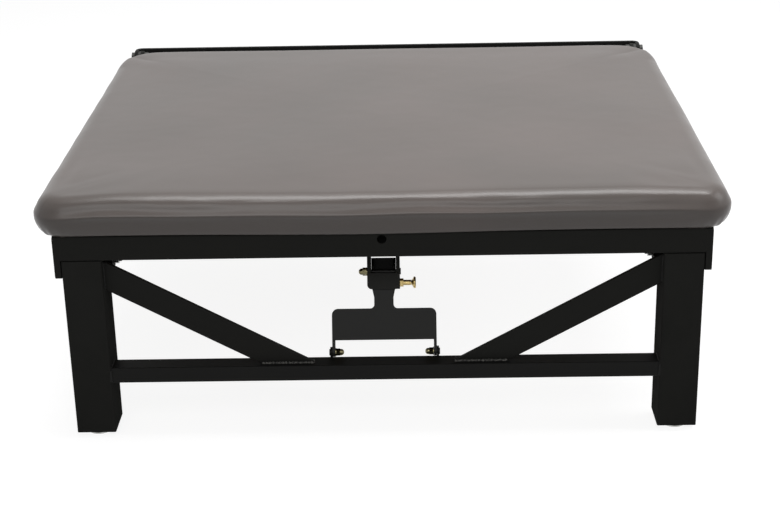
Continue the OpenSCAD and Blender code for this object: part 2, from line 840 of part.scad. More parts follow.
module plunger_barrel() {
    color("#c9a24a") on_stay() translate([0, 0, lock_u]) difference() {
        union() {
            x_rod(barrel_r - slip, barrel_x0, barrel_x1);
            x_hex(barrel_hex_af, bracket_out, bracket_out + barrel_hex_t);
        }
        x_rod(pin_r + pin_play, barrel_x0 - cut, barrel_x1 + cut);
        x_rod(barrel_bore_r, barrel_x0 + barrel_end_wall, barrel_x1 - barrel_end_wall);
    }
}

module plunger_pin() {
    color("#b9b9b4") on_stay() translate([0, 0, lock_u]) {
        x_rod(pin_r, pin_nose_x, barrel_x1 + knob_gap);
        x_rod(pin_collar_r, barrel_x0 + barrel_end_wall + slip, barrel_x0 + barrel_end_wall + slip + pin_collar_t);
    }
}

module plunger_knob() {
    color("#caa650") on_stay() translate([barrel_x1 + knob_gap, 0, lock_u]) rotate([0, 90, 0])
        rotate_extrude() polygon([for (p = knob_shares) [p[0] * knob_r, p[1] * knob_t]]);
}

module plunger_spring() {
    coil_r = (pin_r + barrel_bore_r) / 2;
    pitch = (spring_x1 - spring_x0 - spring_wire) / (spring_turns - 1);
    color("#a9a9a4") on_stay() translate([0, 0, lock_u])
        for (i = [0 : spring_turns - 1]) translate([spring_x0 + spring_wire / 2 + pitch * i, 0, 0])
            rotate([0, 90, 0]) rotate_extrude($fn = 32) translate([coil_r, 0]) circle(spring_wire / 2, $fn = 16);
}

wall_plate();
left() wall_lug();  // wall_lug_left
wall_lug();  // wall_lug_right
deck_front_rail();
deck_rear_rail();
left() deck_side_rail();  // deck_side_rail_left
deck_side_rail();  // deck_side_rail_right
deck_centre_rail();
left() deck_rib();  // deck_rib_left
deck_rib();  // deck_rib_right
rear_rail_caps();
board_tabs();
board_screws();
plywood_board();
mat_cushion();
left() hinge_arm();  // hinge_arm_left
hinge_arm();  // hinge_arm_right
hinge_bushes();
hinge_spacers();
hinge_bolts();
hinge_nuts();
left() ear_outer();  // ear_outer_left
ear_outer();  // ear_outer_right
left() ear_inner();  // ear_inner_left
ear_inner();  // ear_inner_right
leg_pin_bolts();
leg_pin_nuts();
leg_pin_washers();
left() leg();  // leg_left
leg();  // leg_right
leg_sleeves();
leg_top_caps();
leg_foot_plugs();
crossbar();
left() brace();  // brace_left
brace();  // brace_right
left() stay_tab();  // stay_tab_left
stay_tab();  // stay_tab_right
stay_pivot_bolts();
stay_pivot_nuts();
stay_plate();
stay_head();
left() stay_flange();  // stay_flange_left
stay_flange();  // stay_flange_right
catch_bracket();
catch_bolt();
catch_nut();
plunger_barrel();
plunger_spring();
plunger_pin();
plunger_knob();
left() glide();  // glide_left
glide();  // glide_right
left() glide_stem();  // glide_stem_left
glide_stem();  // glide_stem_right
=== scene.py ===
import math

import bmesh
import bpy
import numpy as np
from mathutils import Matrix, Vector


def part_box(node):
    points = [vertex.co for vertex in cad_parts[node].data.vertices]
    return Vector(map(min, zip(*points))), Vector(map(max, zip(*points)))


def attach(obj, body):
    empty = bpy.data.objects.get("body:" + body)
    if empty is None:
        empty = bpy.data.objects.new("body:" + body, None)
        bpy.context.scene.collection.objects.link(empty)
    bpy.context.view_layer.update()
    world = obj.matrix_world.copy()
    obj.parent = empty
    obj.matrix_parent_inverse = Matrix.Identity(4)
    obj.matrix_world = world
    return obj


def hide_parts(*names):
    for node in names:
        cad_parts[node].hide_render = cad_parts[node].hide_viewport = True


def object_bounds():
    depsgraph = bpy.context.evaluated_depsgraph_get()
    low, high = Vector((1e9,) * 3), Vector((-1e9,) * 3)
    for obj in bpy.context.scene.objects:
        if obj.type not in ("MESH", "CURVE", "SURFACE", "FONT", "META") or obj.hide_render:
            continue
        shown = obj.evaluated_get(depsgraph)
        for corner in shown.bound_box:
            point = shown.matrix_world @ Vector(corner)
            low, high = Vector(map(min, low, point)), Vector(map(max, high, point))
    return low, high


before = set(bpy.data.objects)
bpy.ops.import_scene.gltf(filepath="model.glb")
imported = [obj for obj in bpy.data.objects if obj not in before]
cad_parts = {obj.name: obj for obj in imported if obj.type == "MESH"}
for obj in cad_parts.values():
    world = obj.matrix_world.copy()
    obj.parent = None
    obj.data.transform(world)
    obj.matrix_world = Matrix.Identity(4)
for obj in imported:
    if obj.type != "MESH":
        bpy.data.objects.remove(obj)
cad_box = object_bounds()


# Wall bracket
# A steel plate bolted to the wall, bent forward at both ends into lugs for the hinge.
# It is powder coated black in one piece: satin, with the faint orange peel of baked powder.

def linear(code):
    """An sRGB hex colour as the linear colour that a shader takes."""
    parts = [int(code[i:i + 2], 16) / 255 for i in (1, 3, 5)]
    return tuple(c / 12.92 if c <= 0.04045 else ((c + 0.055) / 1.055) ** 2.4 for c in parts) + (1.0,)


def add(tree, kind, settings=(), links=()):
    """Adds one shader node: settings are (name or socket, value), links are (socket, output of another)."""
    made = tree.nodes.new(kind)
    for name, value in settings:
        if isinstance(name, str) and hasattr(made, name):
            setattr(made, name, value)
        else:
            made.inputs[name].default_value = value
    for socket, output in links:
        tree.links.new(output, made.inputs[socket])
    return made


def new_finish(name):
    """An empty material, and the tree that the finish is drawn in."""
    finish = bpy.data.materials.new(name)
    finish.use_nodes = True
    finish.node_tree.nodes.clear()
    return finish, finish.node_tree


def coat(node_names, finish):
    """Gives a finish to CAD pieces, in all their material slots."""
    for name in node_names:
        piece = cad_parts[name]
        if not piece.material_slots:
            piece.data.materials.append(finish)
        for slot in piece.material_slots:
            slot.material = finish


def powder_coat(name, body, edge, roughness, specular):
    """Baked black powder: body is its colour, and edge the paler one where it thins over an edge, which also
    paints a highlight along each edge.
    """
    finish, tree = new_finish(name)
    place = add(tree, "ShaderNodeTexCoord").outputs["Object"]
    # The baked film varies a little over hand widths, about 110 mm.
    cloud = add(tree, "ShaderNodeTexNoise", [("Scale", 1 / 0.11), ("Detail", 3.0), ("Roughness", 0.55)],
                [("Vector", place)])
    # Orange peel is about 1.2 mm across, drawn twice as coarse so that it shows.
    peel = add(tree, "ShaderNodeTexNoise", [("Scale", 1 / 0.0024), ("Detail", 2.0), ("Roughness", 0.5)],
               [("Vector", place)])
    # The edge is found by comparing the true normal with one rounded over 1.6 mm.
    rounded = add(tree, "ShaderNodeBevel", [("samples", 4), ("Radius", 0.0016)])
    true = add(tree, "ShaderNodeNewGeometry")
    match = add(tree, "ShaderNodeVectorMath", [("operation", "DOT_PRODUCT")],
                [(0, rounded.outputs[0]), (1, true.outputs["Normal"])])
    # Edges are drawn paler, partly where the powder thins and partly as a painted highlight.
    thinning_and_highlight = add(tree, "ShaderNodeMapRange",
               [("From Min", 0.995), ("From Max", 0.80), ("To Min", 0.0), ("To Max", 0.55)],
               [("Value", match.outputs["Value"])])
    tint = add(tree, "ShaderNodeMix", [("data_type", "RGBA"), (6, linear(body)), (7, linear(edge))],
               [(0, thinning_and_highlight.outputs[0])])
    shade = add(tree, "ShaderNodeMapRange", [("To Min", 0.82), ("To Max", 1.18)],
                [("Value", cloud.outputs[0])])
    colour = add(tree, "ShaderNodeVectorMath", [("operation", "SCALE")],
                 [(0, tint.outputs[2]), ("Scale", shade.outputs[0])])
    gloss = add(tree, "ShaderNodeMapRange", [("To Min", roughness - 0.05), ("To Max", roughness + 0.07)],
                [("Value", cloud.outputs[0])])
    relief = add(tree, "ShaderNodeBump", [("Strength", 0.12), ("Distance", 0.0004)],
                 [("Height", peel.outputs[0]), ("Normal", rounded.outputs[0])])
    shader = add(tree, "ShaderNodeBsdfPrincipled", [("IOR", 1.5), ("Specular IOR Level", specular)],
                 [("Base Color", colour.outputs[0]), ("Roughness", gloss.outputs[0]),
                  ("Normal", relief.outputs[0])])
    add(tree, "ShaderNodeOutputMaterial", [], [("Surface", shader.outputs[0])])
    return finish


wall_powder = powder_coat("black_powder_coat_on_wall_bracket",
                          "#141413", "#2b2b29", roughness=0.62, specular=0.12)
coat(["wall_plate", "wall_lug_left", "wall_lug_right"], wall_powder)


# Deck frame
# Rectangular steel tube, mitre-sawn and welded, powder coated black after welding.
# The welds are left as laid: a row of overlapping ripples under the powder.

deck_powder = powder_coat("black_powder_coat_on_deck_tube",
                          "#21211f", "#32322f", roughness=0.64, specular=0.10)
coat(["deck_front_rail", "deck_rear_rail", "deck_side_rail_left", "deck_side_rail_right",
      "deck_centre_rail", "deck_rib_left", "deck_rib_right", "board_tabs"], deck_powder)


def weld_bead(name, start, end, width, body, finish, pitch=0.0042, rough=0.05, seed=1):
    """A weld from start to end, as a rod whose skin steps up in overlapping ripples, one to each pitch."""
    a, b = Vector(start), Vector(end)
    along = (b - a).normalized()
    side = along.orthogonal().normalized()
    lift = along.cross(side)
    length = (b - a).length
    rings = max(8, int(length / (pitch / 5)))
    spokes = 10
    noise = np.random.default_rng(seed).uniform(-1, 1, rings + 1)
    mesh = bmesh.new()
    rows = []
    for i in range(rings + 1):
        s = i / rings
        ripple = (s * length / pitch) % 1.0
        # Both ends taper off to a quarter of the width.
        tail = min(1.0, 3.0 * min(s, 1 - s) * length / width + 0.25)
        r = width / 2 * tail * (0.82 + 0.18 * math.sin(math.pi * ripple) + rough * noise[i])
        centre = a + along * (s * length)
        rows.append([mesh.verts.new(centre + side * (r * math.cos(t)) + lift * (r * math.sin(t)))
                     for t in (2 * math.pi * k / spokes for k in range(spokes))])
    for p, q in zip(rows, rows[1:]):
        for k in range(spokes):
            mesh.faces.new((p[k], p[(k + 1) % spokes], q[(k + 1) % spokes], q[k]))
    mesh.faces.new(list(reversed(rows[0])))
    mesh.faces.new(rows[-1])
    bmesh.ops.recalc_face_normals(mesh, faces=mesh.faces)
    for face in mesh.faces:
        face.smooth = True
    data = bpy.data.meshes.new(name)
    mesh.to_mesh(data)
    mesh.free()
    bead = bpy.data.objects.new(name, data)
    bpy.context.scene.collection.objects.link(bead)
    data.materials.append(finish)
    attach(bead, body)


# A bead's width and how far short of a piece's corner it stops, in metres.
WIDE_BEAD, PLAIN_BEAD, NARROW_BEAD = 0.006, 0.005, 0.004
SHORT = 0.003
weld_powder = powder_coat("black_powder_coat_over_weld",
                          "#171716", "#2c2c2a", roughness=0.52, specular=0.16)
rail_low, rail_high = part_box("deck_front_rail")
rear_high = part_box("deck_rear_rail")[1]
for rail in ("deck_side_rail_left", "deck_side_rail_right", "deck_centre_rail", "deck_rib_left",
             "deck_rib_right"):
    low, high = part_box(rail)
    for end, y in (("front", low.y), ("rear", high.y)):
        weld_bead(f"weld_{rail}_{end}", (low.x + SHORT, y, low.z), (high.x - SHORT, y, low.z), WIDE_BEAD,
                  "deck", weld_powder, seed=len(rail))


# Board
# Birch plywood under the foam, held to the frame by welded tabs and screws from below.
# The face veneer is straight-grained, and the sawn edge shows its plies.

plywood, tree = new_finish("birch_plywood_board")
place = add(tree, "ShaderNodeTexCoord").outputs["Object"]
# Grain figure runs along the board, in streaks 12 mm broad and 300 mm long with finer lines in them.
stretch = add(tree, "ShaderNodeMapping", [("Scale", (1 / 0.3, 1 / 0.012, 1 / 0.012))], [("Vector", place)])
grain = add(tree, "ShaderNodeTexNoise",
            [("Scale", 1.0), ("Detail", 6.0), ("Roughness", 0.62), ("Distortion", 0.6)],
            [("Vector", stretch.outputs[0])])
figure = add(tree, "ShaderNodeValToRGB", [], [("Fac", grain.outputs[0])])
early, late = figure.color_ramp.elements
early.position = 0.32
early.color = linear("#a97f4c")
late.position = 0.68
late.color = linear("#d0ab74")
shader = add(tree, "ShaderNodeBsdfPrincipled", [("Roughness", 0.72), ("IOR", 1.45)],
             [("Base Color", figure.outputs[0])])
add(tree, "ShaderNodeOutputMaterial", [], [("Surface", shader.outputs[0])])
coat(["plywood_board"], plywood)


# Mat
# Firm foam glued to the board under one sheet of upholstery vinyl, pulled down and stapled below.
# It is drawn as a tight closed form, swelled by a short cloth run, then given the soft ridge
# where the foam turns over the board's edge and the puckers at its corners.

MAT_HALF = 0.660
low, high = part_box("mat_cushion")
MAT_FRONT, MAT_REAR, MAT_FOOT = low.y, high.y, low.z
mid_y = (MAT_FRONT + MAT_REAR) / 2
half_y = (MAT_REAR - MAT_FRONT) / 2
FRONT_CORNER, REAR_CORNER = 0.062, 0.100
# The ridge, the mat's widest line, stands this high above the board's underside.
RIDGE = 0.0405
# Section of the mat's side, in metres: how far in from the ridge, the same where the cover is gathered
# round a corner, and how high above the board's underside. The cover sags a little below the board.
SIDE_SECTION = [(0.0470, 0.0470, 0.0002), (0.0240, 0.0345, 0.0002), (0.0190, 0.0300, -0.0005),
                (0.0165, 0.0268, -0.0013), (0.0140, 0.0234, -0.0017), (0.0117, 0.0198, -0.0012),
                (0.0098, 0.0160, 0.0004), (0.0083, 0.0124, 0.0034), (0.0071, 0.0090, 0.0080),
                (0.0061, 0.0059, 0.0135), (0.0051, 0.0032, 0.0190), (0.0039, 0.0010, 0.0250),
                (0.0022, 0.0000, 0.0315), (0.0006, 0.0005, 0.0375), (0.0000, 0.0012, 0.0405),
                (0.0010, 0.0021, 0.0434), (0.0031, 0.0037, 0.0475), (0.0056, 0.0059, 0.0520),
                (0.0083, 0.0084, 0.0566)]
# Above that the edge is rolled over, on an arc from a slope of 30 degrees round to level.
ROLL_RADIUS, ROLL_INSET, ROLL_TOP, ROLL_STEPS = 0.036, 0.0088, 0.0763, 8
ROLL_START = math.radians(30)
for step in range(1, ROLL_STEPS + 1):
    lean = math.radians(30 + 60 / ROLL_STEPS * step)
    inset = ROLL_INSET + ROLL_RADIUS * (math.cos(ROLL_START) - math.cos(lean))
    SIDE_SECTION.append((inset, inset, ROLL_TOP - ROLL_RADIUS * (1 - math.sin(lean))))
SIDE_SECTION.append((0.052, 0.052, 0.0765))
# The cover ends in a stapled flap under the board. Along the two ends, where the board overhangs
# the frame, the flap is in sight and lies a vinyl's thickness below the board.
FLAP_WIDTH, FLAP_DROP = 0.048, 0.0009
# The cloth run may move each point this far, so the form starts that much smaller.
SWELL = 0.0014
# The cloth's movement is evened out between neighbouring points this many times.
EVENING_ROUNDS = 14
# Mesh steps along the front and along an end.
ACROSS, ALONG = 100, 76
# The front and the rear draw in by this much halfway between their corners.
WAIST = 0.0032
# The cover is gathered over this length of each side by a corner.
GATHER_REACH = 0.17
# The foam stands squarer along the rear: its upper edge is drawn in less there, and the top rises to it,
# by 55 percent less at the ends than over the middle three quarters.
REAR_FULL, REAR_RISE = 0.65, 0.0085
END_LOSS, END_FROM = 0.55, 0.75
# The front edge hangs lowest a little left of the middle, and is this much higher towards its ends.
FRONT_RISE, DIP_X, DIP_WIDTH = 0.0045, -0.04, 0.26


def mat_outline(x, y, inset):
    """The place on the rounded outline, drawn in by inset, for x, y on the square outline (-1 to 1)."""
    hx, hy = MAT_HALF - inset, half_y - inset
    px, py = x * hx, y * hy
    r = max((REAR_CORNER if y > 0 else FRONT_CORNER) - inset, 0.010)
    cx, cy = hx - r, hy - r
    if abs(px) > cx and abs(py) > cy:
        d = Vector((abs(px) - cx, abs(py) - cy)).normalized() * r
        px, py = math.copysign(cx + d.x, px), math.copysign(cy + d.y, py)
    if abs(y) >= abs(x):
        py -= math.copysign(WAIST * (1 - (px / hx) ** 2), py)
    return px, py + mid_y


def gather(x, y):
    """How far the cover is gathered, from 0 along the sides to 1 round a corner."""
    near = min(abs(x) - 1 + GATHER_REACH / MAT_HALF, abs(y) - 1 + GATHER_REACH / half_y) / GATHER_REACH
    share = min(max(near, 0.0) * 0.75, 1.0)
    return share * share * (3 - 2 * share) * share


def front_rise(x, y):
    """How much higher than in its middle the front edge stands at x, fading out towards the rear."""
    across = 1 - math.exp(-((x * MAT_HALF - DIP_X) / DIP_WIDTH) ** 2)
    return FRONT_RISE * across * (1 - gather(x, y)) * min(max((-y - 0.3) / 0.7, 0.0), 1.0) ** 2


def rear_rise(x, y):
    """How much the top rises towards the rear, less so by the ends."""
    end = max((abs(x) - END_FROM) / (1 - END_FROM), 0.0)
    return REAR_RISE * ((y + 1) / 2) ** 2 * (1 - END_LOSS * end ** 2)


def spread(t):
    """Moves an even step from -1 to 1 so that the steps are half as long by the corners."""
    return t * (1.25 - 0.25 * t * t)


steps = [(2 * i / ACROSS - 1, -1) for i in range(ACROSS)]
steps += [(1, 2 * i / ALONG - 1) for i in range(ALONG)]
steps += [(1 - 2 * i / ACROSS, 1) for i in range(ACROSS)]
steps += [(-1, 1 - 2 * i / ALONG) for i in range(ALONG)]
border = [(spread(x), spread(y)) for x, y in steps]
mesh = bmesh.new()
rows = []
for plain, gathered, height in SIDE_SECTION:
    # The rear's rise begins above the ridge, and the front's where the cover leaves the board.
    upper = min(max((height - RIDGE) / 0.02, 0.0), 1.0)
    free = min(max((0.0215 - plain) / 0.006, 0.0), 1.0) if height < RIDGE else 1.0
    row = []
    for x, y in border:
        inset = plain + (gathered - plain) * gather(x, y)
        inset *= 1 - REAR_FULL * upper * min(max((y - 0.80) / 0.15, 0.0), 1.0)
        lift = rear_rise(x, y) * upper + front_rise(x, y) * free * (y == -1) - SWELL * (height > 0.06)
        lift -= FLAP_DROP * (plain > 0.020 and height < 0.010 and abs(x) == 1)
        row.append(mesh.verts.new((*mat_outline(x, y, inset - SWELL), MAT_FOOT + height + lift)))
    rows.append(row)
for p, q in zip(rows, rows[1:]):
    for k in range(len(border)):
        mesh.faces.new((p[k], p[(k + 1) % len(border)], q[(k + 1) % len(border)], q[k]))


def cap_grid(rim, height_at, inset):
    """Closes the ring rim with a grid of quads whose rows run in from the rim."""
    grid = {}
    for k, (x, y) in enumerate(steps):
        grid[(round((x + 1) * ACROSS / 2), round((y + 1) * ALONG / 2))] = rim[k]
    for i in range(ACROSS + 1):
        for j in range(ALONG + 1):
            if (i, j) not in grid:
                u, v = 2 * i / ACROSS - 1, 2 * j / ALONG - 1
                s = max(abs(u), abs(v), 1e-6)
                x, y = spread(u / s), spread(v / s)
                px, py = mat_outline(x, y, inset)
                grid[(i, j)] = mesh.verts.new((px * s, mid_y + (py - mid_y) * s, height_at(x * s, y * s)))
    for i in range(ACROSS):
        for j in range(ALONG):
            mesh.faces.new((grid[i, j], grid[i + 1, j], grid[i + 1, j + 1], grid[i, j + 1]))


def top_height(x, y):
    """How high the top stands at x, y (-1 to 1): it crowns by 1.2 mm over its middle."""
    crown = 0.0012 * (1 - max(abs(x), abs(y)) ** 3)
    return MAT_FOOT + SIDE_SECTION[-1][2] - SWELL + crown + rear_rise(x, y) + front_rise(x, y)


# The underside is closed for the cloth run, which needs a closed form to fill with air.
cap_grid(rows[-1], top_height, SIDE_SECTION[-1][0] - SWELL)
cap_grid(rows[0], lambda x, y: MAT_FOOT + SIDE_SECTION[0][2], SIDE_SECTION[0][0] - SWELL)
bmesh.ops.recalc_face_normals(mesh, faces=mesh.faces)
data = bpy.data.meshes.new("mat_cover")
mesh.to_mesh(data)
mesh.free()
mat = bpy.data.objects.new("mat_cover", data)
bpy.context.scene.collection.objects.link(mat)


def read_points(obj):
    """The places of a mesh's points, one to a row."""
    points = np.zeros(len(obj.data.vertices) * 3, np.float64)
    obj.data.vertices.foreach_get("co", points)
    return points.reshape(-1, 3)


def write_points(obj, points):
    """Puts a mesh's points at new places."""
    obj.data.vertices.foreach_set("co", points.astype(np.float32).ravel())
    obj.data.update()


def swell(obj, pressure, frames, most):
    """Runs the cover as cloth over air pressure, its foot tacked down, and keeps each point within most."""
    before = read_points(obj)
    tacked = obj.vertex_groups.new(name="tacked")
    tacked.add([int(i) for i in np.nonzero(before[:, 2] < MAT_FOOT + 0.0060)[0]], 1.0, "REPLACE")
    cloth = obj.modifiers.new("cover", "CLOTH")
    cloth.settings.quality = 5
    cloth.settings.mass = 0.35
    cloth.settings.tension_stiffness = 40
    cloth.settings.compression_stiffness = 25
    cloth.settings.shear_stiffness = 12
    cloth.settings.bending_stiffness = 1.5
    cloth.settings.use_pressure = True
    cloth.settings.uniform_pressure_force = pressure
    cloth.settings.vertex_group_mass = "tacked"
    cloth.settings.effector_weights.gravity = 0.0
    cloth.collision_settings.use_collision = False
    cloth.point_cache.frame_start, cloth.point_cache.frame_end = 1, frames
    for step in range(1, frames + 1):
        bpy.context.scene.frame_set(step)
    shaped = obj.evaluated_get(bpy.context.evaluated_depsgraph_get())
    after = np.zeros(len(before) * 3, np.float64)
    shaped.data.vertices.foreach_get("co", after)
    obj.modifiers.remove(cloth)
    obj.vertex_groups.remove(tacked)
    bpy.context.scene.frame_set(1)
    move = after.reshape(-1, 3) - before
    # Only the broad swelling is kept: wrinkles a few meshes wide are evened out.
    ends = np.zeros(len(obj.data.edges) * 2, np.int32)
    obj.data.edges.foreach_get("vertices", ends)
    ends = ends.reshape(-1, 2)
    neighbours = np.bincount(ends.ravel(), minlength=len(before))[:, None]
    for _ in range(EVENING_ROUNDS):
        total = np.zeros_like(move)
        np.add.at(total, ends[:, 0], move[ends[:, 1]])
        np.add.at(total, ends[:, 1], move[ends[:, 0]])
        move = (move + total / neighbours) / 2
    reach = np.linalg.norm(move, axis=1, keepdims=True)
    write_points(obj, before + move * (most * np.tanh(reach / most) / np.maximum(reach, 1e-9)))


swell(mat, pressure=4.0, frames=20, most=SWELL)


def past_flap(face):
    """Whether a face closes the underside further in than the stapled flap."""
    middle = face.calc_center_median()
    under = middle.z < MAT_FOOT + 0.0003 and abs(face.normal.z) > 0.9
    return under and abs(middle.x) < MAT_HALF - FLAP_WIDTH and abs(middle.y - mid_y) < half_y - FLAP_WIDTH


mesh = bmesh.new()
mesh.from_mesh(mat.data)
bmesh.ops.delete(mesh, geom=[face for face in mesh.faces if past_flap(face)], context="FACES")
mesh.to_mesh(mat.data)
mesh.free()
# The form is made twice as fine before its small folds are drawn.
finer = mat.modifiers.new("finer", "SUBSURF")
finer.levels = finer.render_levels = 1
mat.data = bpy.data.meshes.new_from_object(mat.evaluated_get(bpy.context.evaluated_depsgraph_get()))
mat.modifiers.clear()

points = read_points(mat)
x, y, z = points[:, 0], points[:, 1] - mid_y, points[:, 2] - MAT_FOOT
# How much a point belongs to each side, over a band 45 mm wide, and how near it is to a corner.
SIDE_BAND, SIDE_FADE = 0.045, 0.03
CORNER_BAND, CORNER_FADE = 0.13, 0.10
on_front = np.clip((-y - half_y + SIDE_BAND) / SIDE_FADE, 0, 1)
on_end = np.clip((np.abs(x) - MAT_HALF + SIDE_BAND) / SIDE_FADE, 0, 1)
on_rear = np.clip((y - half_y + SIDE_BAND) / SIDE_FADE, 0, 1)
run = np.where(on_end > np.maximum(on_front, on_rear), y, x)
corner_x = np.clip((np.abs(x) - (MAT_HALF - CORNER_BAND)) / CORNER_FADE, 0, 1)
corner_y = np.clip((np.abs(y) - (half_y - CORNER_BAND)) / CORNER_FADE, 0, 1)
corner = np.minimum(corner_x, corner_y)
# Ridge where the foam turns over the board's edge: it wanders by up to 3.6 mm up and down,
# in waves from 0.4 to 1.5 m long, and follows the front edge's dip.
wander = 0.0022 * np.sin(run / 0.062 + 0.6) * np.sin(run / 0.171 + 1.1) + 0.0014 * np.sin(run / 0.233 + 2.0)
follow = FRONT_RISE * (1 - np.exp(-((x - DIP_X) / DIP_WIDTH) ** 2)) * on_front * (1 - corner)
height = z - RIDGE - wander - follow
# Its form in metres: a crest and a hollow on each side, each as how far out, how high and how broad.
RIDGE_FORM = [(0.0022, 0.0, 0.0050), (-0.0017, 0.0108, 0.0063), (-0.0008, -0.0120, 0.0075)]
ridge = sum(out * np.exp(-((height - at) / broad) ** 2) for out, at, broad in RIDGE_FORM)
# It is stronger and weaker by turns along each side, and almost gone at the corners.
strength = (1 - 0.85 * corner) * (0.72 + 0.28 * np.sin(run / 0.118 + 0.3))
outward = np.stack([np.sign(x) * on_end, on_rear - on_front], 1)
outward /= np.maximum(np.linalg.norm(outward, axis=1, keepdims=True), 1e-6)
points[:, :2] += outward * (ridge * strength)[:, None]
# The rolled upper edge, 64 mm above the board's underside, rises and falls a little along its length.
ROLL_HEIGHT, ROLL_BREADTH = 0.064, 0.011
roll = np.exp(-((z - ROLL_HEIGHT) / ROLL_BREADTH) ** 2) * np.maximum(on_front, np.maximum(on_end, on_rear))
points[:, 2] += roll * (0.0009 * np.sin(run / 0.047) * np.sin(run / 0.129 + 0.9)
                        + 0.0005 * np.sin(run / 0.019))
# Puckers gathered under the corners fan out from a point 60 mm in, and fade out a third of the way up.
PUCKER, PUCKER_TOP, FAN_IN = 0.0011, 0.026, 0.06
angle = np.arctan2(np.abs(y) - (half_y - FAN_IN), np.abs(x) - (MAT_HALF - FAN_IN))
pucker = PUCKER * np.cos(angle * 16) * np.clip(1 - z / PUCKER_TOP, 0, 1) * corner
points[:, :2] += outward * pucker[:, None]
# The foam under the sheet is uneven by about half a millimetre over hand widths.
points[:, 2] += 0.00045 * np.sin(x / 0.083 + 1.3) * np.cos(y / 0.071 + 0.4) * (z > 0.066)
write_points(mat, points)
for face in mat.data.polygons:
    face.use_smooth = True

# Upholstery vinyl: calendered PVC on knit cloth, semi-gloss with a fine leather grain.
# The grain's cells are about 2 mm across, with pores half as wide, and break the sheen only slightly.
vinyl, tree = new_finish("taupe_upholstery_vinyl")
place = add(tree, "ShaderNodeTexCoord").outputs["Object"]
# The grain is turned askew, so that the level top doesn't cut its cells in bands.
askew = add(tree, "ShaderNodeMapping", [("Rotation", (0.55, 0.75, 0.30))], [("Vector", place)]).outputs[0]
hide = add(tree, "ShaderNodeTexVoronoi", [("feature", "DISTANCE_TO_EDGE"), ("Scale", 1 / 0.0022)],
           [("Vector", askew)])
pore = add(tree, "ShaderNodeTexNoise", [("Scale", 1 / 0.0011), ("Detail", 2.0)], [("Vector", askew)])
# Colour and gloss drift over about 280 mm, and the sheet is slack over about 55 mm.
drift = add(tree, "ShaderNodeTexNoise", [("Scale", 1 / 0.28), ("Detail", 2.0), ("Roughness", 0.5)],
            [("Vector", place)])
slack = add(tree, "ShaderNodeTexNoise", [("Scale", 1 / 0.055), ("Detail", 1.0)], [("Vector", place)])
tint = add(tree, "ShaderNodeValToRGB", [], [("Fac", drift.outputs[0])])
cool, warm = tint.color_ramp.elements
cool.position = 0.30
cool.color = linear("#514a46")
warm.position = 0.70
warm.color = linear("#584f4b")
# The grain's grooves are drawn up to a tenth darker: a painted shade in them.
groove_shade = add(tree, "ShaderNodeMapRange",
             [("From Min", 0.0), ("From Max", 0.10), ("To Min", 0.90), ("To Max", 1.0)],
             [("Value", hide.outputs["Distance"])])
colour = add(tree, "ShaderNodeVectorMath", [("operation", "SCALE")],
             [(0, tint.outputs[0]), ("Scale", groove_shade.outputs[0])])
gloss = add(tree, "ShaderNodeMapRange", [("To Min", 0.280), ("To Max", 0.316)],
            [("Value", drift.outputs[0])])
slow = add(tree, "ShaderNodeBump", [("Strength", 0.10), ("Distance", 0.004)],
           [("Height", slack.outputs[0])])
fine = add(tree, "ShaderNodeBump", [("Strength", 0.16), ("Distance", 0.0003)],
           [("Height", hide.outputs["Distance"]), ("Normal", slow.outputs[0])])
dots = add(tree, "ShaderNodeBump", [("Strength", 0.06), ("Distance", 0.0002)],
           [("Height", pore.outputs[0]), ("Normal", fine.outputs[0])])
shader = add(tree, "ShaderNodeBsdfPrincipled", [("IOR", 1.5), ("Specular IOR Level", 0.46)],
             [("Base Color", colour.outputs[0]), ("Roughness", gloss.outputs[0]),
              ("Normal", dots.outputs[0])])
add(tree, "ShaderNodeOutputMaterial", [], [("Surface", shader.outputs[0])])
mat.data.materials.clear()
mat.data.materials.append(vinyl)
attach(mat, "deck")
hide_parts("mat_cushion")


# Staples
# Wire staples driven through the cover's flap into the board, in sight from below along the two ends.
# Bright galvanised wire, 10 mm across the crown.

zinc, tree = new_finish("bright_zinc_plate")
place = add(tree, "ShaderNodeTexCoord").outputs["Object"]
haze = add(tree, "ShaderNodeTexNoise", [("Scale", 1 / 0.004), ("Detail", 3.0)], [("Vector", place)])
dull = add(tree, "ShaderNodeMapRange", [("To Min", 0.24), ("To Max", 0.42)], [("Value", haze.outputs[0])])
shader = add(tree, "ShaderNodeBsdfPrincipled", [("Metallic", 1.0), ("Base Color", linear("#bfc0bd"))],
             [("Roughness", dull.outputs[0])])
add(tree, "ShaderNodeOutputMaterial", [], [("Surface", shader.outputs[0])])

CROWN, WIRE = 0.010, 0.0011
STAPLES, STAPLE_INSET = 22, 0.0415
# The first staple is 75 mm from the front, the last 95 mm from the rear.
FIRST_STAPLE = MAT_FRONT + 0.075
STAPLE_RUN = MAT_REAR - MAT_FRONT - 0.17
# Each staple is its crown and the tops of its two legs.
LEG = (WIRE, WIRE, WIRE * 2)
STAPLE_PARTS = [(0, (WIRE, CROWN, WIRE)), (-CROWN / 2, LEG), (CROWN / 2, LEG)]
mesh = bmesh.new()
for side in (-1, 1):
    for k in range(STAPLES):
        y = FIRST_STAPLE + k * STAPLE_RUN / (STAPLES - 1)
        for shift, size in STAPLE_PARTS:
            place = (side * (MAT_HALF - STAPLE_INSET), y + shift, MAT_FOOT - WIRE)
            made = bmesh.ops.create_cube(mesh, size=1.0)["verts"]
            bmesh.ops.scale(mesh, vec=size, verts=made)
            bmesh.ops.translate(mesh, vec=place, verts=made)
bmesh.ops.bevel(mesh, geom=mesh.edges[:], offset=0.0002, segments=1, affect="EDGES")
data = bpy.data.meshes.new("cover_staples")
mesh.to_mesh(data)
mesh.free()
staples = bpy.data.objects.new("cover_staples", data)
bpy.context.scene.collection.objects.link(staples)
data.materials.append(zinc)
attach(staples, "deck")
coat(["board_screws"], zinc)


